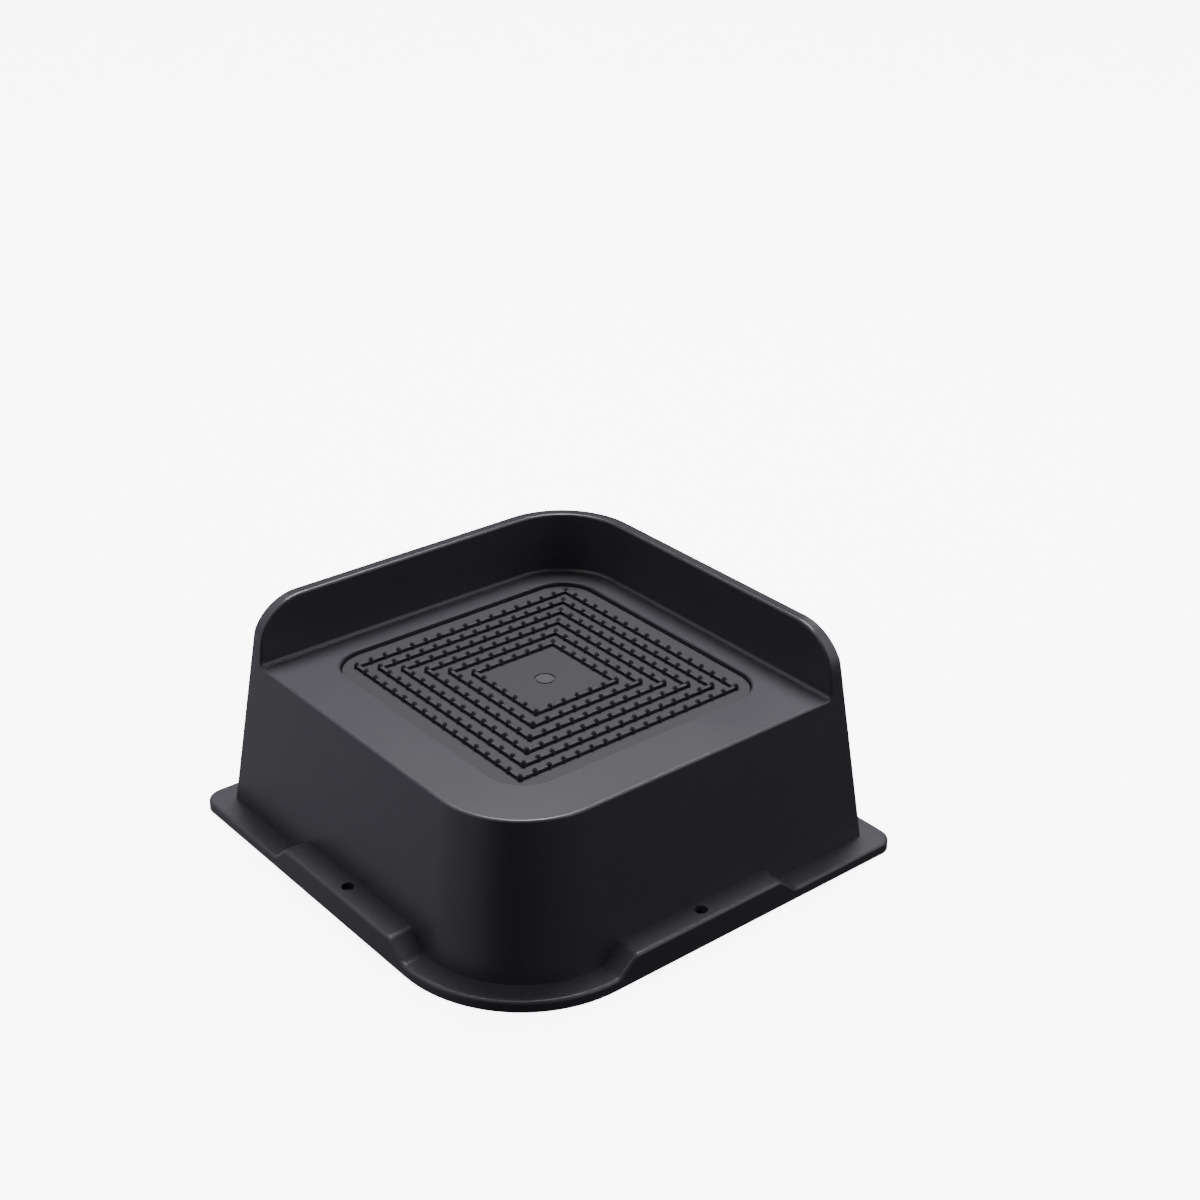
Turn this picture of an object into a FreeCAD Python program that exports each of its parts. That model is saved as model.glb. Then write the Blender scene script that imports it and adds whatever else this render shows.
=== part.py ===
"""Bed riser: a drafted, hollow moulded block with a lip round two sides, a grip pad let into its deck
and a foot flange with four raised screw bridges.

Frame: millimetres, +Z up, origin on the floor under the middle of the block. The open sides face -X and
-Y, and the lip stands on the +X and +Y sides. The whole is symmetric about the plane x = y.
"""
import FreeCAD, Part
import math
import os

import Sketcher

# Driving dimensions: alias, value in millimetres and what it is
SIZES = (
    ("lift", 76.2, "floor to the deck that carries the leg"),
    ("lip_rise", 29.5, "lip above the deck"),
    ("lip_thickness", 5.0, "lip at its top"),
    ("lip_end_radius", 22.0, "rounding of the lip's free ends, seen from the side"),
    ("lip_root_radius", 2.0, "fillet between lip and deck"),
    ("foot_side", 200.0, "block across its flats at the floor"),
    ("crown_inset", 12.3, "how far each side has leant in at the top of the lip"),
    ("corner_radius", 49.5, "two large plan corners, at the floor"),
    ("end_corner_radius", 1.2, "two small plan corners, at the lip's ends"),
    ("deck_edge_radius", 1.2, "rounding of the deck's outer edge"),
    ("shell", 4.0, "side walls of the block"),
    ("deck_floor", 3.5, "deck under the pad recess"),
    ("rib_thickness", 3.0, "ribs under the deck"),
    ("rib_spacing", 62.0, "between the middles of two parallel ribs"),
    ("rib_relief", 1.5, "ribs stop this far above the floor"),
    ("flange_width", 10.3, "foot flange beyond the block's foot"),
    ("flange_thickness", 5.0, "foot flange at the corners"),
    ("flange_end_radius", 8.5, "flange at the two small plan corners"),
    ("flange_edge_radius", 1.5, "rounding of the flange's upper edge"),
    ("bridge_rise", 7.8, "raised screw bridge above the flange"),
    ("bridge_ramp", 8.8, "run of the slope at each end of a bridge"),
    ("bridge_bend_radius", 5.5, "rounding where the slopes begin and end"),
    ("bridge_wall", 3.0, "roof and skirt of a bridge"),
    ("screw_hole", 5.6, "clearance hole through a bridge"),
    ("open_border", 24.9, "deck between its open edge and the pad recess"),
    ("lip_border", 12.5, "deck between the lip and the pad recess"),
    ("recess_corner", 17.5, "plan corners of the recess"),
    ("recess_depth", 4.5, "below the deck"),
    ("recess_edge_break", 0.6, "chamfer of the recess's upper edge"),
    ("pad_gap", 0.4, "between pad and recess wall"),
    ("pad_thickness", 2.2, "sheet of the pad"),
    ("pad_edge_break", 0.5, "chamfer of the pad's upper edge"),
    ("pad_border", 9.0, "least distance from the pad's edge to the outer ridge"),
    ("pad_plain", 38.0, "plain square in the middle of the pad"),
    ("ridge_pitch", 7.27, "between neighbouring ridges, and between nubs along them"),
    ("ridge_width", 1.8, "ridge across"),
    ("ridge_height", 1.6, "ridge above the sheet"),
    ("nub_width", 1.7, "nub across its foot"),
    ("nub_tip", 0.6, "nub across its tip"),
    ("nub_height", 1.4, "nub above its ridge"),
    ("gate_diameter", 9.4, "round gate mark in the middle of the pad"),
    ("gate_groove", 0.8, "width of the groove round the gate mark"),
    ("gate_depth", 0.5, "depth of that groove"),
)

# How closely, in millimetres, a point has to lie on an outline to count as on it
SLACK = 0.02

doc = FreeCAD.newDocument("BedRiser")
sheet = doc.addObject("Spreadsheet::Sheet", "Sizes")
for row, (alias, size, meaning) in enumerate(SIZES, start=1):
    sheet.set("A%d" % row, meaning)
    sheet.set("B%d" % row, str(size))
    sheet.setAlias("B%d" % row, alias)
doc.recompute()

# Derived lengths, as expressions on the sheet
TOP = "(Sizes.lift + Sizes.lip_rise)"
LEAN = "(Sizes.crown_inset / %s)" % TOP
CORNER = "(Sizes.foot_side / 2 - Sizes.corner_radius)"
CROWN = "(Sizes.foot_side / 2 - Sizes.crown_inset)"
LIP_INNER = "(%s - Sizes.lip_thickness)" % CROWN
DECK = "(Sizes.foot_side / 2 - %s * Sizes.lift)" % LEAN
RECESS_LOW = "(Sizes.open_border - %s)" % DECK
RECESS_HIGH = "(%s - Sizes.lip_border)" % LIP_INNER
RECESS_HALF = "((%s - %s) / 2)" % (RECESS_HIGH, RECESS_LOW)
RECESS_MIDDLE = "((%s + %s) / 2)" % (RECESS_HIGH, RECESS_LOW)
RECESS_FLOOR = "(Sizes.lift - Sizes.recess_depth)"
CEILING = "(%s - Sizes.deck_floor)" % RECESS_FLOOR
FLANGE = "(Sizes.foot_side / 2 + Sizes.flange_width)"
BRIDGE_HEIGHT = "(Sizes.flange_thickness + Sizes.bridge_rise)"
BRIDGE_SLOPE = "sqrt(Sizes.bridge_rise ^ 2 + Sizes.bridge_ramp ^ 2)"
BRIDGE_BEND = "(Sizes.bridge_bend_radius * (%s - Sizes.bridge_ramp) / Sizes.bridge_rise)" % BRIDGE_SLOPE
BRIDGE_TOP = "(%s - %s - Sizes.bridge_ramp)" % (CORNER, BRIDGE_BEND)


def value(text):
    """The number that an expression gives now."""
    return float(doc.Sizes.evalExpression(text))


def half_at(height):
    """Half of the block's side at a height, as an expression."""
    return "(Sizes.foot_side / 2 - %s * %s)" % (LEAN, height)


def line():
    """A straight run to the next corner."""
    return None


def arc(radius, centre_x, centre_y, turn=1):
    """A round run to the next corner: turn is 1 anticlockwise and -1 clockwise."""
    return radius, centre_x, centre_y, turn


def origin_plane(body, role):
    """One of a body's own origin planes or axes, found by its role."""
    return next(feature for feature in body.Origin.OriginFeatures if feature.Role == role)


def attach(body, name, role, lift="0"):
    """An empty sketch on an origin plane, moved along the plane's normal by an expression."""
    sketch = body.newObject("Sketcher::SketchObject", name)
    sketch.AttachmentSupport = [(origin_plane(body, role), "")]
    sketch.MapMode = "FlatFace"
    sketch.setExpression("AttachmentOffset.Base.z", lift)
    return sketch


def bind(sketch, kind, first, expression):
    """A dimension of a sketch that follows the sheet."""
    index = sketch.addConstraint(Sketcher.Constraint(kind, *first, value(expression)))
    sketch.setExpression("Constraints[%d]" % index, expression)


def draw(sketch, corners):
    """A closed outline: each corner is x, y and the run to the next one, all as expressions."""
    points = [FreeCAD.Vector(value(x), value(y), 0) for x, y, run in corners]
    first = sketch.GeometryCount
    ends = []
    for index, (x, y, run) in enumerate(corners):
        start, stop = points[index], points[(index + 1) % len(points)]
        if run is None:
            sketch.addGeometry(Part.LineSegment(start, stop), False)
            ends.append((1, 2))
            continue
        radius, centre_x, centre_y, turn = run
        centre = FreeCAD.Vector(value(centre_x), value(centre_y), 0)
        circle = Part.Circle(centre, FreeCAD.Vector(0, 0, 1), value(radius))
        low, high = (start, stop) if turn > 0 else (stop, start)
        angles = [math.atan2(p.y - centre.y, p.x - centre.x) for p in (low, high)]
        sketch.addGeometry(Part.ArcOfCircle(circle, *angles), False)
        ends.append((1, 2) if turn > 0 else (2, 1))
    for index, (x, y, run) in enumerate(corners):
        here, following = first + index, first + (index + 1) % len(corners)
        joint = (here, ends[index][1], following, ends[(index + 1) % len(corners)][0])
        sketch.addConstraint(Sketcher.Constraint("Coincident", *joint))
        place = (-1, 1, here, ends[index][0])
        bind(sketch, "DistanceX", place, x)
        bind(sketch, "DistanceY", place, y)
        if run is not None:
            bind(sketch, "Radius", (here,), run[0])


def rounded_square(half, radius, shift="0"):
    """Corners of a square with four equal round corners, moved along x and y alike."""
    low, high = "(%s - %s)" % (shift, half), "(%s + %s)" % (shift, half)
    first, last = "(%s + %s)" % (low, radius), "(%s - %s)" % (high, radius)
    return (
        (first, low, line()),
        (last, low, arc(radius, last, first)),
        (high, first, line()),
        (high, last, arc(radius, last, last)),
        (last, high, line()),
        (first, high, arc(radius, first, last)),
        (low, last, line()),
        (low, first, arc(radius, first, first)),
    )


def block_outline(half, small=None):
    """Plan of the block: large corners at -X-Y and +X+Y, about fixed centres, and two small or sharp ones."""
    large = "(%s - %s)" % (half, CORNER)
    if small is None:
        return (
            ("-" + CORNER, "-" + half, line()),
            (half, "-" + half, line()),
            (half, CORNER, arc(large, CORNER, CORNER)),
            (CORNER, half, line()),
            ("-" + half, half, line()),
            ("-" + half, "-" + CORNER, arc(large, "-" + CORNER, "-" + CORNER)),
        )
    inner = "(%s - %s)" % (half, small)
    return (
        ("-" + CORNER, "-" + half, line()),
        (inner, "-" + half, arc(small, inner, "-" + inner)),
        (half, "-" + inner, line()),
        (half, CORNER, arc(large, CORNER, CORNER)),
        (CORNER, half, line()),
        ("-" + inner, half, arc(small, "-" + inner, inner)),
        ("-" + half, inner, line()),
        ("-" + half, "-" + CORNER, arc(large, "-" + CORNER, "-" + CORNER)),
    )


def pad(body, name, sketch, length, reverse=False):
    """Material along the sketch's normal."""
    feature = body.newObject("PartDesign::Pad", name)
    feature.Profile = sketch
    feature.setExpression("Length", length)
    feature.Reversed = reverse
    doc.recompute()
    return feature


def pocket(body, name, sketch, length, reverse=False):
    """A cut against the sketch's normal, or along it if reversed, which has to take something away."""
    before = body.Shape.Volume
    feature = body.newObject("PartDesign::Pocket", name)
    feature.Profile = sketch
    feature.setExpression("Length", length)
    feature.Reversed = reverse
    doc.recompute()
    if not feature.Shape.Volume < before:
        raise RuntimeError(name + " cuts nothing")
    return feature


def lean(body, name, chosen, outward=False):
    """Draft of the upright faces that a test picks out: they lean in from the floor up."""
    tip = body.Tip
    names = ["Face%d" % (i + 1) for i, face in enumerate(tip.Shape.Faces) if chosen(face)]
    feature = body.newObject("PartDesign::Draft", name)
    feature.Base = (tip, names)
    feature.NeutralPlane = (origin_plane(body, "XY_Plane"), [""])
    feature.setExpression("Angle", "atan(%s)" % LEAN)
    feature.Reversed = outward
    doc.recompute()
    return feature


def middle(face):
    """Parameters of the middle of a face."""
    low_u, high_u, low_v, high_v = face.ParameterRange
    return (low_u + high_u) / 2, (low_v + high_v) / 2


def upright(face):
    """Whether a face stands square to the floor."""
    return abs(face.normalAt(*middle(face)).z) < 1e-6


def around(body, name, originals, count=4):
    """Copies of features round the vertical axis."""
    pattern = body.newObject("PartDesign::PolarPattern", name)
    pattern.Originals = originals
    pattern.Axis = (origin_plane(body, "Z_Axis"), [""])
    pattern.Angle = 360
    pattern.Occurrences = count
    body.Tip = pattern
    doc.recompute()
    return pattern


def soften(body, name, size, chosen, kind="Fillet"):
    """Rounds or chamfers the edges of the body's tip that a test picks out."""
    tip = body.Tip
    names = ["Edge%d" % (i + 1) for i, edge in enumerate(tip.Shape.Edges) if chosen(edge)]
    if not names:
        raise RuntimeError(name + " finds no edge")
    feature = body.newObject("PartDesign::" + kind, name)
    feature.Base = (tip, names)
    feature.setExpression("Radius" if kind == "Fillet" else "Size", size)
    doc.recompute()
    return feature


def along(edge, test):
    """Whether a test holds at both ends and in the middle of an edge."""
    low, high = edge.ParameterRange
    return all(test(edge.valueAt(low + (high - low) * share)) for share in (0.0, 0.5, 1.0))


def near(a, b):
    """Whether two lengths agree."""
    return abs(a - b) < SLACK


def outline_gap(point, half, small, corner):
    """Distance of a point from the block's plan outline of a half side."""
    x, y = point.x, point.y
    inner = half - small
    if min(x, y) > corner or max(x, y) < -corner:
        return math.hypot(abs(x) - corner, abs(y) - corner) - (half - corner)
    if x * y < 0 and min(abs(x), abs(y)) > inner:
        return math.hypot(abs(x) - inner, abs(y) - inner) - small
    return max(abs(x), abs(y)) - half


def lip_end_outline():
    """What is cut from the lip's end, in side view: an arc that runs into the top and the leaning end."""
    radius = "Sizes.lip_end_radius"
    stretch = "sqrt(1 + %s ^ 2)" % LEAN
    centre_z = "(%s - %s)" % (TOP, radius)
    centre_x = "(%s * %s + %s * %s - Sizes.foot_side / 2)" % (radius, stretch, centre_z, LEAN)
    foot_x = "(%s - %s / %s)" % (centre_x, radius, stretch)
    foot_z = "(%s + %s * %s / %s)" % (centre_z, radius, LEAN, stretch)
    above = "(%s + %s)" % (TOP, radius)
    outside = "-Sizes.foot_side / 2"
    return (
        (centre_x, TOP, arc(radius, centre_x, centre_z)),
        (foot_x, foot_z, line()),
        (outside, foot_z, line()),
        (outside, above, line()),
        (centre_x, above, line()),
    )


def bridge_outline():
    """A bridge in side view, from one large corner's end to its mirror image."""
    bend = "Sizes.bridge_bend_radius"
    low, high = "Sizes.flange_thickness", BRIDGE_HEIGHT
    run_in = "(%s * %s / %s)" % (BRIDGE_BEND, "Sizes.bridge_ramp", BRIDGE_SLOPE)
    climb = "(%s * %s / %s)" % (BRIDGE_BEND, "Sizes.bridge_rise", BRIDGE_SLOPE)
    foot = "(%s + Sizes.bridge_ramp - %s)" % (BRIDGE_TOP, run_in)
    head = "(%s + %s)" % (BRIDGE_TOP, run_in)
    level = "(%s - %s)" % (BRIDGE_TOP, BRIDGE_BEND)
    foot_z, head_z = "(%s + %s)" % (low, climb), "(%s - %s)" % (high, climb)
    hollow_centre, round_centre = "(%s + %s)" % (low, bend), "(%s - %s)" % (high, bend)
    return (
        ("-" + CORNER, "0", line()),
        (CORNER, "0", line()),
        (CORNER, low, arc(bend, CORNER, hollow_centre, -1)),
        (foot, foot_z, line()),
        (head, head_z, arc(bend, level, round_centre)),
        (level, high, line()),
        ("-" + level, high, arc(bend, "-" + level, round_centre)),
        ("-" + head, head_z, line()),
        ("-" + foot, foot_z, arc(bend, "-" + CORNER, hollow_centre, -1)),
        ("-" + CORNER, low, line()),
    )


def rib_outline():
    """A rib in side view: its ends lie inside the leaning walls."""
    low = "(%s - Sizes.shell / 2)" % half_at("Sizes.rib_relief")
    high = "(%s - Sizes.shell / 2)" % half_at(CEILING)
    return (
        ("-" + low, "Sizes.rib_relief", line()),
        (low, "Sizes.rib_relief", line()),
        (high, CEILING, line()),
        ("-" + high, CEILING, line()),
    )


def riser_body():
    """The moulding: block, lip, deck recess, flange, bridges, hollow underside and ribs."""
    body = doc.addObject("PartDesign::Body", "RiserBody")
    body.Label = "riser_body"
    lean_share, foot_half, shell = value(LEAN), value("Sizes.foot_side / 2"), value("Sizes.shell")
    corner, small = value(CORNER), value("Sizes.end_corner_radius")

    def on_end_corner(point):
        half = foot_half - lean_share * point.z
        return point.x * point.y < 0 and near(abs(point.x), half) and near(abs(point.y), half)

    def in_hollow(face):
        gap = outline_gap(face.valueAt(*middle(face)), foot_half - shell, 0, corner)
        return upright(face) and near(gap, 0)

    # Block up to the top of the lip, hollow from below, with mould draft inside and out
    foot = attach(body, "FootOutline", "XY_Plane")
    draw(foot, block_outline("(Sizes.foot_side / 2)"))
    pad(body, "Block", foot, TOP)
    mouth = attach(body, "HollowMouth", "XY_Plane")
    draw(mouth, block_outline("(Sizes.foot_side / 2 - Sizes.shell)"))
    pocket(body, "Hollow", mouth, CEILING, reverse=True)
    lean(body, "HollowDraft", in_hollow, outward=True)
    lean(body, "BlockDraft", upright)
    soften(body, "EndCorners", "Sizes.end_corner_radius", lambda edge: along(edge, on_end_corner))

    # Seat for the leg, open to -X and -Y: what is left of the upper part is the lip
    seat = attach(body, "SeatOutline", "XY_Plane", "Sizes.lift")
    outside = "-Sizes.foot_side / 2"
    draw(seat, (
        (outside, outside, line()),
        (LIP_INNER, outside, line()),
        (LIP_INNER, CORNER, arc("(%s - %s)" % (LIP_INNER, CORNER), CORNER, CORNER)),
        (CORNER, LIP_INNER, line()),
        (outside, LIP_INNER, line()),
    ))
    pocket(body, "Seat", seat, "Sizes.lip_rise", reverse=True)

    # Free ends of the lip, rounded down into the open sides
    for name, role, reverse in (("EndLeft", "XZ_Plane", False), ("EndRight", "YZ_Plane", True)):
        end = attach(body, name + "Outline", role)
        draw(end, lip_end_outline())
        pocket(body, name, end, "Sizes.foot_side / 2", reverse)

    # Foot flange, with a bridge in the middle of each side
    rim = attach(body, "FlangeOutline", "XY_Plane")
    draw(rim, block_outline(FLANGE, "Sizes.flange_end_radius"))
    draw(rim, block_outline("(Sizes.foot_side / 2 - Sizes.shell / 2)"))
    pad(body, "Flange", rim, "Sizes.flange_thickness")
    side = attach(body, "BridgeOutline", "XZ_Plane", FLANGE)
    draw(side, bridge_outline())
    root = "(%s - Sizes.shell / 2)" % half_at(BRIDGE_HEIGHT)
    bridge = pad(body, "Bridge", side, "%s - %s" % (FLANGE, root), reverse=True)
    around(body, "Bridges", [bridge])

    # Ribs under the deck, which stop short of the floor
    plate = attach(body, "RibOutline", "XZ_Plane", "(Sizes.rib_spacing + Sizes.rib_thickness) / 2")
    draw(plate, rib_outline())
    around(body, "Ribs", [pad(body, "Rib", plate, "Sizes.rib_thickness", reverse=True)])

    # Bridges are hollow from below, with one screw hole through each roof
    skirt = "(%s - Sizes.bridge_wall)" % FLANGE
    under = attach(body, "BridgeHollowOutline", "XY_Plane")
    reach = "(%s - Sizes.bridge_wall)" % BRIDGE_TOP
    draw(under, (
        ("-" + reach, "-" + skirt, line()),
        (reach, "-" + skirt, line()),
        (reach, "-Sizes.foot_side / 2", line()),
        ("-" + reach, "-Sizes.foot_side / 2", line()),
    ))
    room = pocket(body, "BridgeHollow", under, "%s - Sizes.bridge_wall" % BRIDGE_HEIGHT, reverse=True)
    drill = attach(body, "ScrewHoleOutline", "XY_Plane", BRIDGE_HEIGHT)
    hole_row = "(%s + Sizes.foot_side / 2) / 2" % skirt
    ring = Part.Circle(FreeCAD.Vector(0, -value(hole_row), 0), FreeCAD.Vector(0, 0, 1), 1)
    drill.addGeometry(ring, False)
    drill.addConstraint(Sketcher.Constraint("PointOnObject", 0, 3, -2))
    bind(drill, "DistanceY", (0, 3, -1, 1), hole_row)
    bind(drill, "Diameter", (0,), "Sizes.screw_hole")
    hole = pocket(body, "ScrewHole", drill, BRIDGE_HEIGHT)
    around(body, "ScrewHoles", [room, hole])

    # Recess for the pad
    tray = attach(body, "RecessOutline", "XY_Plane", "Sizes.lift")
    draw(tray, rounded_square(RECESS_HALF, "Sizes.recess_corner", RECESS_MIDDLE))
    pocket(body, "Recess", tray, "Sizes.recess_depth")

    # Rounded and broken edges
    lift, inner = value("Sizes.lift"), value(LIP_INNER)
    flange, flange_small = value(FLANGE), value("Sizes.flange_end_radius")
    low = value("Sizes.flange_thickness")
    deck_half = value(DECK)
    recess_low, recess_high = value(RECESS_LOW), value(RECESS_HIGH)

    def on_lip_root(point):
        on_lip = near(outline_gap(point, inner, small, corner), 0) and max(point.x, point.y) > corner
        return near(point.z, lift) and on_lip

    def on_deck_edge(point):
        return near(point.z, lift) and near(outline_gap(point, deck_half, small, corner), 0)

    def on_flange_rim(point):
        return point.z > low - SLACK and near(outline_gap(point, flange, flange_small, corner), 0)

    def on_recess_edge(point):
        inside = all(recess_low - SLACK < place < recess_high + SLACK for place in (point.x, point.y))
        return near(point.z, lift) and inside

    soften(body, "RecessEdge", "Sizes.recess_edge_break", lambda edge: along(edge, on_recess_edge), "Chamfer")
    soften(body, "LipRoot", "Sizes.lip_root_radius", lambda edge: along(edge, on_lip_root))
    soften(body, "DeckEdge", "Sizes.deck_edge_radius", lambda edge: along(edge, on_deck_edge))
    soften(body, "FlangeRim", "Sizes.flange_edge_radius", lambda edge: along(edge, on_flange_rim))
    return body


def square(half):
    """Corners of a square about the origin."""
    return (("-" + half, "-" + half, line()), (half, "-" + half, line()),
            (half, half, line()), ("-" + half, half, line()))


def nub_field(rings, pitch):
    """Four-sided pointed nubs on every ridge, a pitch apart: too many for a feature pattern to carry."""
    crest = value("Sizes.pad_thickness + Sizes.ridge_height")
    ends = (("Sizes.nub_width", crest), ("Sizes.nub_tip", crest + value("Sizes.nub_height")))
    signs = ((-1, -1), (1, -1), (1, 1), (-1, 1), (-1, -1))
    foot, tip = [[FreeCAD.Vector(x * value(width) / 2, y * value(width) / 2, height) for x, y in signs]
                 for width, height in ends]
    flanks = [[foot[i], foot[i + 1], tip[i + 1], tip[i], foot[i]] for i in range(4)]
    faces = [Part.Face(Part.makePolygon(outline)) for outline in [foot, tip] + flanks]
    nub = Part.makeSolid(Part.makeShell(faces))
    steps = range(-rings[-1], rings[-1] + 1)
    places = [(column, row) for column in steps for row in steps if max(abs(column), abs(row)) >= rings[0]]
    field = doc.addObject("Part::Feature", "Nubs")
    field.Shape = Part.makeCompound(
        [nub.translated(FreeCAD.Vector(column * pitch, row * pitch, 0)) for column, row in places])
    return field


def grip_pad():
    """The insert, about its own middle with its underside at zero: sheet, ridges, gate mark and nubs."""
    body = doc.addObject("PartDesign::Body", "RidgedSheet")
    half = "(%s - Sizes.pad_gap)" % RECESS_HALF
    outline = attach(body, "SheetOutline", "XY_Plane")
    draw(outline, rounded_square(half, "(Sizes.recess_corner - Sizes.pad_gap)"))
    pad(body, "Sheet", outline, "Sizes.pad_thickness")
    top = value("Sizes.pad_thickness")
    soften(body, "SheetEdge", "Sizes.pad_edge_break",
           lambda edge: along(edge, lambda point: near(point.z, top)), "Chamfer")

    # Gate mark: a shallow ring groove
    gate = attach(body, "GateOutline", "XY_Plane", "Sizes.pad_thickness")
    for index, width in enumerate(("Sizes.gate_diameter", "(Sizes.gate_diameter - 2 * Sizes.gate_groove)")):
        circle = Part.Circle(FreeCAD.Vector(0, 0, 0), FreeCAD.Vector(0, 0, 1), value(width) / 2)
        gate.addGeometry(circle, False)
        gate.addConstraint(Sketcher.Constraint("Coincident", index, 3, -1, 1))
        bind(gate, "Diameter", (index,), width)
    pocket(body, "GateGroove", gate, "Sizes.gate_depth")

    # As many square ridges as fit between the plain middle and the border
    pitch = value("Sizes.ridge_pitch")
    first = math.ceil(value("Sizes.pad_plain / 2") / pitch)
    last = math.floor(value("%s - Sizes.pad_border" % half) / pitch)
    rings = range(first, last + 1)
    ridges = attach(body, "RidgeOutlines", "XY_Plane", "Sizes.pad_thickness")
    for ring in rings:
        for side in ("+", "-"):
            draw(ridges, square("(%d * Sizes.ridge_pitch %s Sizes.ridge_width / 2)" % (ring, side)))
    pad(body, "Ridges", ridges, "Sizes.ridge_height")

    # Sheet and nubs are one moulding, which lies on the floor of the recess
    whole = doc.addObject("Part::MultiFuse", "GripPad")
    whole.Label = "grip_pad"
    whole.Shapes = [body, nub_field(rings, pitch)]
    whole.Refine = False
    for axis, place in (("x", RECESS_MIDDLE), ("y", RECESS_MIDDLE), ("z", RECESS_FLOOR)):
        whole.setExpression("Placement.Base." + axis, place)
    doc.recompute()
    return whole


def check(parts):
    """Stops if a feature failed or a sub-part isn't one sound solid."""
    for feature in doc.Objects:
        if "Invalid" in feature.State or "Error" in feature.State:
            raise RuntimeError("%s failed: %s" % (feature.Name, feature.State))
    for part in parts:
        if part.Shape.isNull() or not part.Shape.isValid() or len(part.Shape.Solids) != 1:
            raise RuntimeError(part.Label + " isn't one valid solid")


parts = [riser_body(), grip_pad()]
doc.recompute()
check(parts)
os.makedirs("parts", exist_ok=True)
for part in parts:
    part.Shape.exportStep("parts/%s.step" % part.Label)
    box = part.Shape.optimalBoundingBox()
    print(part.Label, "volume %.0f mm3" % part.Shape.Volume, "size %.2f x %.2f x %.2f mm"
          % (box.XLength, box.YLength, box.ZLength))
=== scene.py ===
# %% [markdown]
# # A bed riser
# The object is one corner lift for a bed: a hollow moulded block with a lip round two sides, a grip pad
# let into its deck and a flange that screws to the floor. The construction model already holds every
# main size, so this lesson dresses it: finer surfaces, a pad with its ridges and nubs, two finishes, soft
# light and a camera.

# %% Load the construction model as a fixed frame
import math

import bmesh
import bpy
from mathutils import Matrix, Vector


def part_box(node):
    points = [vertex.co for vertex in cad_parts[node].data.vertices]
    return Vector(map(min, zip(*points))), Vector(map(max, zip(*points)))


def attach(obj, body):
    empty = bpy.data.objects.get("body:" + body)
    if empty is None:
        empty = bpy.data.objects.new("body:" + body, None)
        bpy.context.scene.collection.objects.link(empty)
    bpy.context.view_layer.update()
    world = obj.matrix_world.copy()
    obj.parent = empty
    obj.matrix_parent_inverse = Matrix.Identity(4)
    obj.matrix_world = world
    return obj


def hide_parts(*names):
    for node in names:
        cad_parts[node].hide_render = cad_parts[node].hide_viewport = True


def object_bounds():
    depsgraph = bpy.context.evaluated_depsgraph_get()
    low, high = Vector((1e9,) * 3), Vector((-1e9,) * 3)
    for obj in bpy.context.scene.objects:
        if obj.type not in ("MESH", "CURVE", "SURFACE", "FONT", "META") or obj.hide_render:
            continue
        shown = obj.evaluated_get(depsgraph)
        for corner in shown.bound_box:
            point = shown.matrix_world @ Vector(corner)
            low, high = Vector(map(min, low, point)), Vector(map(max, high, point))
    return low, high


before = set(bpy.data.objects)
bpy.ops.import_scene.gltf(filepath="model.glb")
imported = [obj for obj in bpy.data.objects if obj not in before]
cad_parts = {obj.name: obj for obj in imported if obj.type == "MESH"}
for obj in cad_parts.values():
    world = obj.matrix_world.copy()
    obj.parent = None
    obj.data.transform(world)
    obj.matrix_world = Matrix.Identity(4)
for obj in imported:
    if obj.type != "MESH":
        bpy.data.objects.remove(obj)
cad_low, cad_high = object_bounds()
MM = 0.001
print("construction box in mm", [round(v / MM, 1) for v in (*cad_low, *cad_high)])

# %% [markdown]
# ## Helpers for the finishes
# Colours are written the way a paint chart gives them, as sRGB hex values. Shaders want linear light, so
# one function converts them. One more function adds a node, sets it up and links it. It serves shaders
# and Geometry Nodes alike.

# %% Colour and node helpers
def linear(code):
    """Linear red, green, blue and alpha of an sRGB hex colour."""
    parts = [int(code[i:i + 2], 16) / 255 for i in (1, 3, 5)]
    return [p / 12.92 if p <= 0.04045 else ((p + 0.055) / 1.055) ** 2.4 for p in parts] + [1.0]


def add_node(tree, kind, settings=None, inputs=None):
    """A node with its settings; an input that is a socket is linked, and any other is a value."""
    node = tree.nodes.new(kind)
    for name, value in (settings or {}).items():
        setattr(node, name, value)
    for key, value in (inputs or {}).items():
        if isinstance(value, bpy.types.NodeSocket):
            tree.links.new(value, node.inputs[key])
        else:
            node.inputs[key].default_value = value
    return node


def new_material(name):
    """An empty node material and its tree."""
    material = bpy.data.materials.new(name)
    material.use_nodes = True
    material.node_tree.nodes.clear()
    return material, material.node_tree


# %% [markdown]
# ## Charcoal polypropylene
# The block is taken to be injection moulded polypropylene. Moulds for such parts are often spark eroded,
# which leaves an even fine grain, so the plastic is satin: it shows soft light as broad glows and never as
# sharp pictures. Where the melt ran together and cooled a little sooner or later, the gloss drifts slightly
# from place to place. The grain is about 0.7 mm across here, coarser than the real one, so that it shows.
# The narrow top of the lip looks a shade darker than the deck, and why isn't known. It gets painted shade by
# its height, which darkens the top and its rounded edge and also dulls the glints on that edge.

# %% Plastic of the block
MOULD_GRAIN, GLOSS_CLOUDS = 0.7 * MM, 45 * MM
GRAIN_DEPTH = 0.02 * MM
# Heights where the painted shade on the lip's top begins and where it is full
RIM_SHADE_START, RIM_SHADE_FULL = cad_high[2] - 0.9 * MM, cad_high[2] - 0.5 * MM


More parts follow.
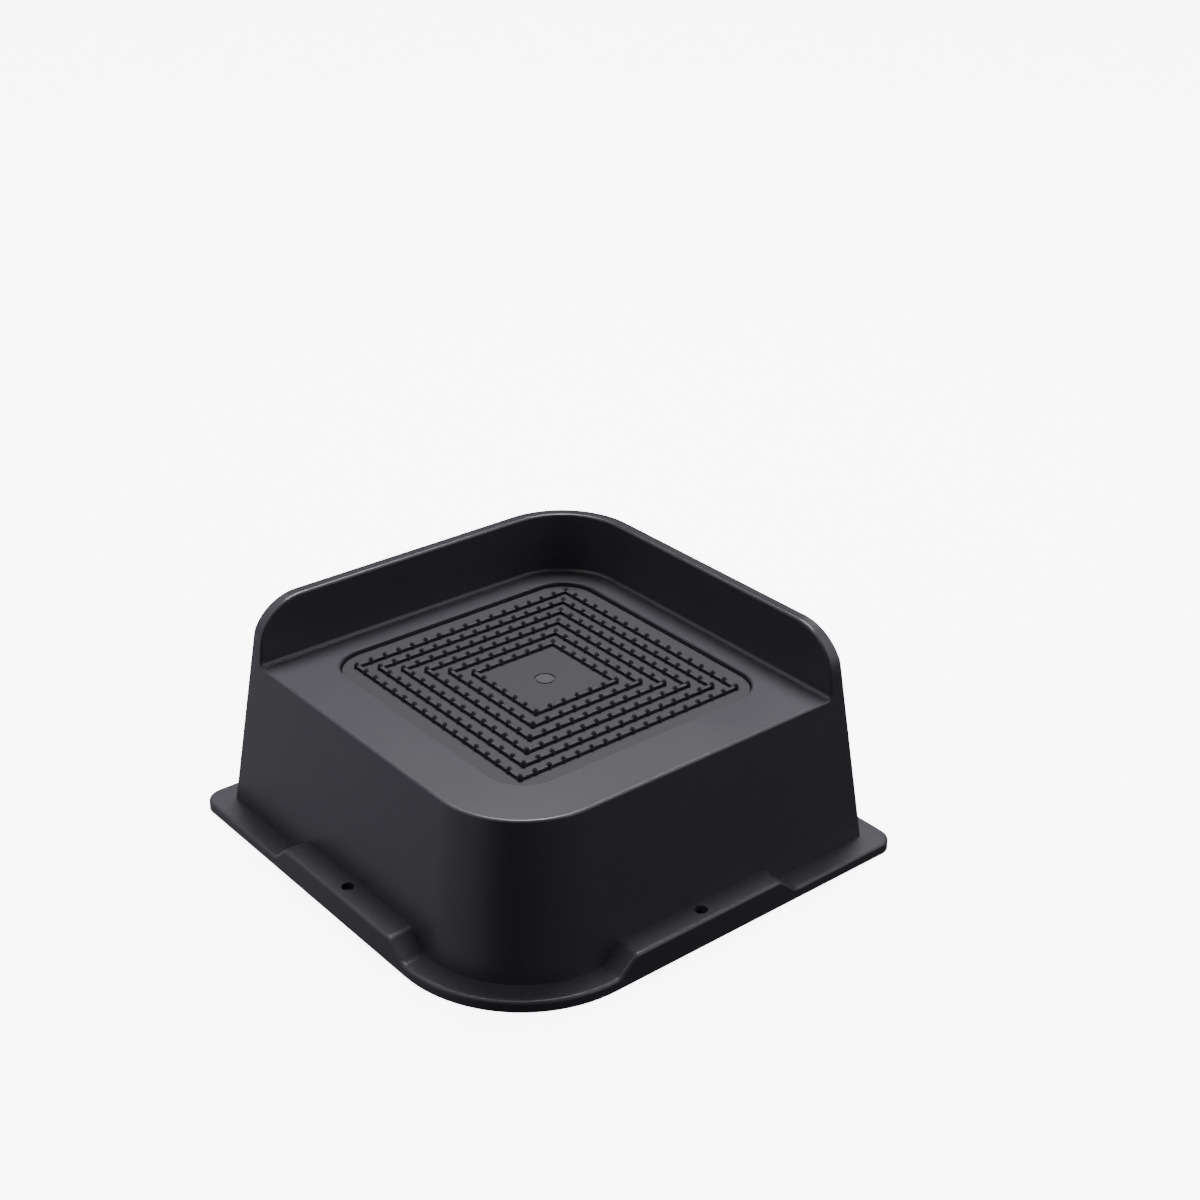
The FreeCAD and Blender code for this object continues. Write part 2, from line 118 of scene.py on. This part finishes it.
def satin_polypropylene():
    material, tree = new_material("satin_polypropylene")
    place = add_node(tree, "ShaderNodeTexCoord").outputs["Object"]
    grain = add_node(tree, "ShaderNodeTexNoise", None,
                     {"Vector": place, "Scale": 1 / MOULD_GRAIN, "Detail": 2.0, "Roughness": 0.6})
    clouds = add_node(tree, "ShaderNodeTexNoise", None,
                      {"Vector": place, "Scale": 1 / GLOSS_CLOUDS, "Detail": 3.0, "Roughness": 0.5})
    tone = add_node(tree, "ShaderNodeMix", {"data_type": "RGBA"},
                    {"Factor": clouds.outputs["Fac"], "A": linear("#2e2d33"), "B": linear("#313036")})
    height = add_node(tree, "ShaderNodeSeparateXYZ", None, {"Vector": place}).outputs["Z"]
    # Painted shade: the lip's top and its rounded edge are darkened by height, which dulls their glints
    painted_rim_shade = add_node(tree, "ShaderNodeMapRange", {"interpolation_type": "SMOOTHSTEP"},
                   {"Value": height, "From Min": RIM_SHADE_START, "From Max": RIM_SHADE_FULL})
    rim_shaded_tone = add_node(tree, "ShaderNodeMix", {"data_type": "RGBA"},
                      {"Factor": painted_rim_shade.outputs["Result"], "A": tone.outputs["Result"], "B": linear("#1f1e24")})
    rough = add_node(tree, "ShaderNodeMapRange", None,
                     {"Value": clouds.outputs["Fac"], "To Min": 0.37, "To Max": 0.43})
    bump = add_node(tree, "ShaderNodeBump", None,
                    {"Height": grain.outputs["Fac"], "Strength": 0.06, "Distance": GRAIN_DEPTH})
    shader = add_node(tree, "ShaderNodeBsdfPrincipled", None,
                      {"Base Color": rim_shaded_tone.outputs["Result"], "Roughness": rough.outputs["Result"],
                       "IOR": 1.49, "Normal": bump.outputs["Normal"]})
    add_node(tree, "ShaderNodeOutputMaterial", None, {"Surface": shader.outputs["BSDF"]})
    return material


plastic = satin_polypropylene()
print("made", plastic.name)

# %% [markdown]
# ## Matt rubber of the pad
# The insert is taken to be a soft thermoplastic rubber. It is a little darker than the block and has no
# gloss to speak of, with a faint dusty bloom. In its middle is a small lighter disc in a ring groove, most
# likely the mark where the melt came in. The disc is found by its distance from the pad's middle, which
# the frame gives.

# %% Rubber of the pad
PAD_LOW, PAD_HIGH = map(Vector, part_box("grip_pad"))
PAD_MIDDLE = (PAD_LOW + PAD_HIGH) / 2
GATE_RADIUS = 4.7 * MM
GATE_GROOVE = 0.8 * MM
RUBBER_GRAIN, BLOOM_PATCHES = 0.5 * MM, 30 * MM
RUBBER_DEPTH = 0.03 * MM


def matt_rubber():
    material, tree = new_material("matt_thermoplastic_rubber")
    place = add_node(tree, "ShaderNodeTexCoord").outputs["Object"]
    grain = add_node(tree, "ShaderNodeTexNoise", None,
                     {"Vector": place, "Scale": 1 / RUBBER_GRAIN, "Detail": 2.0, "Roughness": 0.6})
    bloom = add_node(tree, "ShaderNodeTexNoise", None,
                     {"Vector": place, "Scale": 1 / BLOOM_PATCHES, "Detail": 3.0, "Roughness": 0.5})
    tone = add_node(tree, "ShaderNodeMix", {"data_type": "RGBA"},
                    {"Factor": bloom.outputs["Fac"], "A": linear("#1c1b21"), "B": linear("#1f1e24")})
    away = add_node(tree, "ShaderNodeVectorMath", {"operation": "DISTANCE"}, {0: place, 1: PAD_MIDDLE})
    disc = add_node(tree, "ShaderNodeMath", {"operation": "LESS_THAN"},
                    {0: away.outputs["Value"], 1: GATE_RADIUS - GATE_GROOVE / 2})
    marked = add_node(tree, "ShaderNodeMix", {"data_type": "RGBA"},
                      {"Factor": disc.outputs["Value"], "A": tone.outputs["Result"], "B": linear("#2f2e34")})
    bump = add_node(tree, "ShaderNodeBump", None,
                    {"Height": grain.outputs["Fac"], "Strength": 0.08, "Distance": RUBBER_DEPTH})
    shader = add_node(tree, "ShaderNodeBsdfPrincipled", None,
                      {"Base Color": marked.outputs["Result"], "Roughness": 0.62, "IOR": 1.5,
                       "Specular IOR Level": 0.4, "Normal": bump.outputs["Normal"]})
    add_node(tree, "ShaderNodeOutputMaterial", None, {"Surface": shader.outputs["BSDF"]})
    return material


rubber = matt_rubber()
print("made", rubber.name, "with its gate mark at", [round(v / MM, 2) for v in PAD_MIDDLE])

# %% [markdown]
# ## Smooth block
# The construction mesh is loose triangles, so light breaks at every facet of a fillet. It could be left
# as it is and hidden by a coarse grain, but a copy with its points merged and its normals weighted by
# face size keeps the flats flat and lets the fillets roll.

# %% Block with merged points and weighted normals
SAME_POINT = 0.002 * MM
BLOCK_SHARP, PAD_SHARP = 32, 40


def keep_result(piece):
    """Gives a piece the mesh that its modifiers make, and takes the modifiers off."""
    graph = bpy.context.evaluated_depsgraph_get()
    result = bpy.data.meshes.new_from_object(piece.evaluated_get(graph))
    piece.modifiers.clear()
    piece.data = result


def smooth_shading(piece, sharp_degrees):
    """Merges double points, keeps edges sharper than an angle and lets large faces set the normals."""
    shape = bmesh.new()
    shape.from_mesh(piece.data)
    bmesh.ops.remove_doubles(shape, verts=shape.verts, dist=SAME_POINT)
    for face in shape.faces:
        face.smooth = True
    for edge in shape.edges:
        edge.smooth = edge.calc_face_angle(math.pi) < math.radians(sharp_degrees)
    piece.data = bpy.data.meshes.new(piece.name)
    shape.to_mesh(piece.data)
    shape.free()
    weighted = piece.modifiers.new("WeightedNormal", "WEIGHTED_NORMAL")
    weighted.keep_sharp = True
    weighted.weight = 100
    keep_result(piece)


def dress(piece, node, material):
    """Puts a piece in a node's place, with its finish."""
    piece.data.materials.clear()
    piece.data.materials.append(material)
    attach(piece, "root")
    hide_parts(node)


def new_piece(name, mesh):
    """An object of a mesh, at the origin."""
    piece = bpy.data.objects.new(name, mesh)
    bpy.context.scene.collection.objects.link(piece)
    return piece


block = new_piece("riser_block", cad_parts["riser_body"].data.copy())
smooth_shading(block, BLOCK_SHARP)
dress(block, "riser_body", plastic)
print("block has", len(block.data.polygons), "faces")

# %% [markdown]
# ## Sheet of the pad
# The pad's sheet is a rounded square with a soft upper edge and a shallow ring groove round the gate
# mark. It could be cut from the construction mesh, but a stack of closed loops with the same number of
# points is simpler: each loop is joined to the next by a band of faces, and the two ends are capped.

# %% Sheet as a stack of loops
SHEET_THICKNESS = 2.2 * MM
SHEET_CORNER = 17.1 * MM
SHEET_EDGE = 0.5 * MM
GATE_DEPTH = 0.5 * MM
SHEET_HALF = (PAD_HIGH.x - PAD_LOW.x) / 2
CORNER_STEPS = 16
EDGE_STEPS = 3


def rounded_square(inset, height):
    """Points of the sheet's outline, drawn in by an inset, at a height above its underside."""
    radius = SHEET_CORNER - inset
    centre = SHEET_HALF - SHEET_CORNER
    points = []
    for quarter in range(4):
        corner = Vector((centre, centre, 0))
        corner.rotate(Matrix.Rotation(quarter * math.pi / 2, 3, "Z"))
        for step in range(CORNER_STEPS):
            angle = (quarter + step / (CORNER_STEPS - 1)) * math.pi / 2
            points.append(corner + Vector((radius * math.cos(angle), radius * math.sin(angle), height)))
    return points


def circle(radius, height):
    """As many points as the outline has, on a circle."""
    count = 4 * CORNER_STEPS
    angles = [(i + 0.5) / count * 2 * math.pi for i in range(count)]
    return [Vector((radius * math.cos(a), radius * math.sin(a), height)) for a in angles]


def sheet_mesh():
    """The sheet from its underside, round its edge, to the disc of the gate mark."""
    loops = [rounded_square(0, 0)]
    for step in range(EDGE_STEPS + 1):
        turn = step / EDGE_STEPS * math.pi / 2
        rise = SHEET_THICKNESS - SHEET_EDGE * (1 - math.sin(turn))
        loops.append(rounded_square(SHEET_EDGE * (1 - math.cos(turn)), rise))
    inner = GATE_RADIUS - GATE_GROOVE
    floor = SHEET_THICKNESS - GATE_DEPTH
    loops += [circle(GATE_RADIUS, SHEET_THICKNESS), circle(GATE_RADIUS, floor),
              circle(inner, floor), circle(inner, SHEET_THICKNESS)]
    shape = bmesh.new()
    seat = Vector((PAD_MIDDLE.x, PAD_MIDDLE.y, PAD_LOW.z))
    rows = [[shape.verts.new(seat + point) for point in loop] for loop in loops]
    for low, high in zip(rows, rows[1:]):
        for i, corner in enumerate(low):
            after = (i + 1) % len(low)
            shape.faces.new((corner, low[after], high[after], high[i]))
    shape.faces.new(reversed(rows[0]))
    shape.faces.new(rows[-1])
    mesh = bpy.data.meshes.new("ridged_pad")
    shape.to_mesh(mesh)
    shape.free()
    return mesh


pad = new_piece("ridged_pad", sheet_mesh())
print("sheet has", len(pad.data.polygons), "faces")

# %% [markdown]
# ## Ridges and nubs
# Six square ridges lie round the pad's plain middle, and a pointed nub stands at every pitch along them.
# Copying each by hand would fill the file, and they follow one rule, so Geometry Nodes make them, from a
# tree whose inputs are the sizes below.

# %% Sizes of the ridges and nubs
PITCH = 7.27 * MM
FIRST_RING, LAST_RING = 3, 8
PAD_SIZES = {
    "Ring step": 2 * PITCH,
    "First side": 2 * FIRST_RING * PITCH,
    "Rings": LAST_RING - FIRST_RING + 1,
    "Ridge width": 1.8 * MM,
    "Ridge height": 1.6 * MM,
    "Ridge rounding": 0.3 * MM,
    "Grid side": 2 * LAST_RING * PITCH,
    "Grid points": 2 * LAST_RING + 1,
    "Plain reach": (FIRST_RING - 0.5) * PITCH,
    "Nub sides": 12,
    "Foot radius": 1.35 * MM,
    "Shank radius": 1.15 * MM,
    "Shank height": 1.9 * MM,
    "Tip radius": 0.35 * MM,
    "Tip height": 1.1 * MM,
    "Seat": (PAD_MIDDLE.x, PAD_MIDDLE.y, PAD_LOW.z + SHEET_THICKNESS),
    "Rubber": rubber,
}
SOCKETS = {float: "NodeSocketFloat", int: "NodeSocketInt", tuple: "NodeSocketVector"}


def pad_tree():
    """A tree that takes and gives geometry, with an input for each size."""
    tree = bpy.data.node_groups.new("ridges_and_nubs", "GeometryNodeTree")
    for way in ("INPUT", "OUTPUT"):
        tree.interface.new_socket("Geometry", in_out=way, socket_type="NodeSocketGeometry")
    for name, value in PAD_SIZES.items():
        kind = SOCKETS.get(type(value), "NodeSocketMaterial")
        tree.interface.new_socket(name, in_out="INPUT", socket_type=kind)
    return tree, add_node(tree, "NodeGroupInput").outputs


grip_tree, given = pad_tree()
print("the tree has", len(PAD_SIZES), "inputs")

# %% [markdown]
# ### Ridges
# Each ridge is a unit square, scaled to its ring's side and swept with a small rounded profile. The
# profile is as deep below the sheet's face as it is high above it, so no gap can open. It is wider than
# the ridge by the square root of two, because a sweep turns it by half a corner at each corner.

# %% Ridges swept along squares
def swept_ridges(tree):
    """Mesh of the square ridges, one for each ring."""
    spots = add_node(tree, "GeometryNodeMeshLine", {"mode": "OFFSET"},
                     {"Count": given["Rings"], "Offset": (0, 0, 0)})
    order = add_node(tree, "GeometryNodeInputIndex")
    side = add_node(tree, "ShaderNodeMath", {"operation": "MULTIPLY_ADD"},
                    {0: order.outputs["Index"], 1: given["Ring step"], 2: given["First side"]})
    square = add_node(tree, "GeometryNodeCurvePrimitiveQuadrilateral", None, {"Width": 1.0, "Height": 1.0})
    squares = add_node(tree, "GeometryNodeInstanceOnPoints", None,
                       {"Points": spots.outputs["Mesh"], "Instance": square.outputs["Curve"],
                        "Scale": side.outputs["Value"]})
    curves = add_node(tree, "GeometryNodeRealizeInstances", None, {"Geometry": squares.outputs["Instances"]})
    upright = add_node(tree, "GeometryNodeSetCurveNormal", {"mode": "Z_UP"},
                       {"Curve": curves.outputs["Geometry"]})
    wide = add_node(tree, "ShaderNodeMath", {"operation": "MULTIPLY"},
                    {0: given["Ridge width"], 1: math.sqrt(2)})
    deep = add_node(tree, "ShaderNodeMath", {"operation": "MULTIPLY"}, {0: given["Ridge height"], 1: 2})
    outline = add_node(tree, "GeometryNodeCurvePrimitiveQuadrilateral", None,
                       {"Width": wide.outputs["Value"], "Height": deep.outputs["Value"]})
    profile = add_node(tree, "GeometryNodeFilletCurve", {"mode": "POLY"},
                       {"Curve": outline.outputs["Curve"], "Count": 2, "Radius": given["Ridge rounding"]})
    sweep = add_node(tree, "GeometryNodeCurveToMesh", None,
                     {"Curve": upright.outputs["Curve"], "Profile Curve": profile.outputs["Curve"]})
    return sweep.outputs["Mesh"]


ridges = swept_ridges(grip_tree)
print("ridges on", PAD_SIZES["Rings"], "squares")

# %% [markdown]
# ### Nubs
# A nub is a tooth of two cones: a shank, whose foot spreads over its ridge down to the sheet, and a tip.
# Steep sides turn away from the light overhead, which is why the nubs look black. They stand on the
# points of a grid, apart from the points over the plain middle.

# %% Nubs on a grid
def standing_nubs(tree):
    """Instances of the tooth on every grid point outside the plain middle."""
    shank = add_node(tree, "GeometryNodeMeshCone", None,
                     {"Vertices": given["Nub sides"], "Radius Bottom": given["Foot radius"],
                      "Radius Top": given["Shank radius"], "Depth": given["Shank height"]})
    tip = add_node(tree, "GeometryNodeMeshCone", None,
                   {"Vertices": given["Nub sides"], "Radius Bottom": given["Shank radius"],
                    "Radius Top": given["Tip radius"], "Depth": given["Tip height"]})
    above = add_node(tree, "ShaderNodeCombineXYZ", None, {"Z": given["Shank height"]})
    lifted = add_node(tree, "GeometryNodeTransform", None,
                      {"Geometry": tip.outputs["Mesh"], "Translation": above.outputs["Vector"]})
    tooth = add_node(tree, "GeometryNodeMeshBoolean", {"operation": "UNION", "solver": "MANIFOLD"})
    for part in (shank.outputs["Mesh"], lifted.outputs["Geometry"]):
        tree.links.new(part, tooth.inputs["Mesh 2"])
    grid = add_node(tree, "GeometryNodeMeshGrid", None,
                    {"Size X": given["Grid side"], "Size Y": given["Grid side"],
                     "Vertices X": given["Grid points"], "Vertices Y": given["Grid points"]})
    place = add_node(tree, "GeometryNodeInputPosition")
    away = add_node(tree, "ShaderNodeVectorMath", {"operation": "ABSOLUTE"}, {0: place.outputs["Position"]})
    ways = add_node(tree, "ShaderNodeSeparateXYZ", None, {"Vector": away.outputs["Vector"]})
    reach = add_node(tree, "ShaderNodeMath", {"operation": "MAXIMUM"},
                     {0: ways.outputs["X"], 1: ways.outputs["Y"]})
    outside = add_node(tree, "ShaderNodeMath", {"operation": "GREATER_THAN"},
                       {0: reach.outputs["Value"], 1: given["Plain reach"]})
    nubs = add_node(tree, "GeometryNodeInstanceOnPoints", None,
                    {"Points": grid.outputs["Mesh"], "Selection": outside.outputs["Value"],
                     "Instance": tooth.outputs["Mesh"]})
    return nubs.outputs["Instances"]


nubs = standing_nubs(grip_tree)
print("nubs on a grid of", PAD_SIZES["Grid points"], "by", PAD_SIZES["Grid points"], "points")

# %% [markdown]
# ### One skin
# The real pad is one moulding. Sheet, ridges and nubs could just lie inside each other, but a Mesh
# Boolean joins them into one closed skin with nothing left inside it, which also prints well.

# %% Sheet, ridges and nubs in one skin
def join_skin(tree):
    """Seats the ridges and nubs on the sheet and joins all three."""
    grip = add_node(tree, "GeometryNodeJoinGeometry")
    for part in (ridges, nubs):
        tree.links.new(part, grip.inputs["Geometry"])
    seated = add_node(tree, "GeometryNodeTransform", None,
                      {"Geometry": grip.outputs["Geometry"], "Translation": given["Seat"]})
    skin = add_node(tree, "GeometryNodeMeshBoolean", {"operation": "UNION", "solver": "MANIFOLD"})
    for part in (given["Geometry"], seated.outputs["Geometry"]):
        tree.links.new(part, skin.inputs["Mesh 2"])
    real = add_node(tree, "GeometryNodeRealizeInstances", None, {"Geometry": skin.outputs["Mesh"]})
    dressed = add_node(tree, "GeometryNodeSetMaterial", None,
                       {"Geometry": real.outputs["Geometry"], "Material": given["Rubber"]})
    add_node(tree, "NodeGroupOutput", None, {"Geometry": dressed.outputs["Geometry"]})


def grow_ridges(piece, tree):
    """Runs the tree on the sheet, with its sizes set by the sockets' identifiers."""
    growth = piece.modifiers.new("Ridges", "NODES")
    growth.node_group = tree
    for socket in tree.interface.items_tree:
        if socket.in_out == "INPUT" and socket.name in PAD_SIZES:
            growth[socket.identifier] = PAD_SIZES[socket.name]
    keep_result(piece)


join_skin(grip_tree)
grow_ridges(pad, grip_tree)
smooth_shading(pad, PAD_SHARP)
dress(pad, "grip_pad", rubber)
print("pad has", len(pad.data.polygons), "faces, top at",
      round(max(v.co.z for v in pad.data.vertices) / MM, 2), "mm")

# %% [markdown]
# ## Studio
# A pale floor, a soft light overhead and a little behind, and a weak one on each side, large enough that
# rounded edges show no hard glints. A white floor would throw so much light at the dark walls that they
# turn grey, so the floor is left out of reflections. Two broad cards stand in for it, drawn as glows of
# the world's light: a bright one low on the left and a dim one low on the right. They give each wall its
# own tone, and they fade out towards the ground, which keeps the flange's upright edge dark. The camera
# itself sees the world as white as the floor, so a low view has no dark sky.

# %% Floor
WHITE = linear("#ffffff")
FLOOR_GLOW = 7.0
FLOOR_REACH = 6.0
FLOOR_DROP = 0.05 * MM


def pale_floor():
    material, tree = new_material("pale_floor")
    shader = add_node(tree, "ShaderNodeBsdfPrincipled", None,
                      {"Base Color": linear("#f4f4f4"), "Roughness": 0.9,
                       "Emission Color": WHITE, "Emission Strength": FLOOR_GLOW})
    add_node(tree, "ShaderNodeOutputMaterial", None, {"Surface": shader.outputs["BSDF"]})
    mesh = bpy.data.meshes.new("floor")
    corners = [(x * FLOOR_REACH, y * FLOOR_REACH, 0) for x, y in ((-1, -1), (1, -1), (1, 1), (-1, 1))]
    mesh.from_pydata(corners, [], [(0, 1, 2, 3)])
    mesh.materials.append(material)
    floor = new_piece("floor", mesh)
    floor.location.z = -FLOOR_DROP
    floor.visible_glossy = False
    floor.visible_diffuse = False
    return floor


floor = pale_floor()
print("floor is", round(floor.dimensions.x), "m across")

# %% Soft lights
AIM = Vector((0, 0, 60 * MM))
# Name, place in metres, side in metres and watts
LIGHTS = (
    ("overhead", (0.5, 0.5, 2.0), 0.75, 86),
    ("left", (-1.4, 0.4, 1.75), 2.4, 22),
    ("right", (1.15, -1.6, 1.4), 2.4, 29),
)


def soft_light(name, place, side, watts):
    """A square area light that faces the object."""
    data = bpy.data.lights.new(name, "AREA")
    data.shape = "SQUARE"
    data.size = side
    data.energy = watts
    lamp = bpy.data.objects.new(name, data)
    lamp.location = place
    lamp.rotation_euler = (AIM - Vector(place)).to_track_quat("-Z", "Y").to_euler()
    bpy.context.scene.collection.objects.link(lamp)


for light in LIGHTS:
    soft_light(*light)
print("lights", len(LIGHTS))

# %% Cards in the world
# Direction and strength of the left and right cards
CARDS = (
    ((-0.55, 0.78, -0.32), 0.66),
    ((0.60, -0.72, -0.35), 0.17),
)
# Cosines where a card begins and is full, and heights where both fade in
CARD_EDGE, CARD_CORE = 0.25, 0.55
CARD_FOOT, CARD_HEAD = -0.75, -0.35
CARD_COLOUR = linear("#f4f1ff")


def studio_world():
    """Soft glows in the directions of the cards, on black, and plain white for the camera."""
    world = bpy.data.worlds.new("studio")
    world.use_nodes = True
    tree = world.node_tree
    tree.nodes.clear()
    way = add_node(tree, "ShaderNodeTexCoord").outputs["Generated"]
    strength = 0.0
    for direction, power in CARDS:
        facing = add_node(tree, "ShaderNodeVectorMath", {"operation": "DOT_PRODUCT"},
                          {0: way, 1: Vector(direction).normalized()})
        glow = add_node(tree, "ShaderNodeMapRange", {"interpolation_type": "SMOOTHSTEP"},
                        {"Value": facing.outputs["Value"], "From Min": CARD_EDGE, "From Max": CARD_CORE,
                         "To Max": power})
        total = add_node(tree, "ShaderNodeMath", {"operation": "ADD"},
                         {0: glow.outputs["Result"], 1: strength})
        strength = total.outputs["Value"]
    rise = add_node(tree, "ShaderNodeSeparateXYZ", None, {"Vector": way})
    fade = add_node(tree, "ShaderNodeMapRange", {"interpolation_type": "SMOOTHSTEP"},
                    {"Value": rise.outputs["Z"], "From Min": CARD_FOOT, "From Max": CARD_HEAD})
    faded = add_node(tree, "ShaderNodeMath", {"operation": "MULTIPLY"},
                     {0: strength, 1: fade.outputs["Result"]})
    cards = add_node(tree, "ShaderNodeBackground", None,
                     {"Color": CARD_COLOUR, "Strength": faded.outputs["Value"]})
    backdrop = add_node(tree, "ShaderNodeBackground", None, {"Color": WHITE, "Strength": FLOOR_GLOW})
    ray = add_node(tree, "ShaderNodeLightPath")
    seen = add_node(tree, "ShaderNodeMixShader", None,
                    {0: ray.outputs["Is Camera Ray"], 1: cards.outputs["Background"],
                     2: backdrop.outputs["Background"]})
    add_node(tree, "ShaderNodeOutputWorld", None, {"Surface": seen.outputs["Shader"]})
    bpy.context.scene.world = world


studio_world()
print("cards", len(CARDS))

# %% [markdown]
# ## Camera
# The camera stands where the picture was taken from. It could be placed by eye in the viewport, but its
# place, direction, roll and lens were worked out from the corners of the block, and numbers give the same
# frame each run. The focal length is a share of the picture's width.

# %% Camera
CAMERA_AZIMUTH, CAMERA_ELEVATION, CAMERA_ROLL = map(math.radians, (-39.96, 27.16, 0.73))
CAMERA_PLACE = Vector((-458.43, -583.87, 494.40)) * MM
FOCAL_SHARE = 1978.51 / 1200


def aim_camera():
    """The camera by its place, direction and roll, with the focal length as a share of the picture."""
    flat, rise = math.cos(CAMERA_ELEVATION), math.sin(CAMERA_ELEVATION)
    back = Vector((math.sin(CAMERA_AZIMUTH) * flat, -math.cos(CAMERA_AZIMUTH) * flat, rise))
    right = (-back).cross(Vector((0, 0, 1))).normalized()
    up = right.cross(-back)
    turn, tilt = math.cos(CAMERA_ROLL), math.sin(CAMERA_ROLL)
    axes = Matrix((turn * right + tilt * up, turn * up - tilt * right, back)).transposed().to_4x4()
    data = bpy.data.cameras.new("camera")
    data.sensor_width = 36
    data.lens = data.sensor_width * FOCAL_SHARE
    data.clip_start = 0.05
    data.clip_end = 50
    camera = bpy.data.objects.new("camera", data)
    camera.matrix_world = Matrix.Translation(CAMERA_PLACE) @ axes
    bpy.context.scene.collection.objects.link(camera)
    bpy.context.scene.camera = camera
    return camera


camera = aim_camera()
print("lens", round(camera.data.lens, 2), "mm")
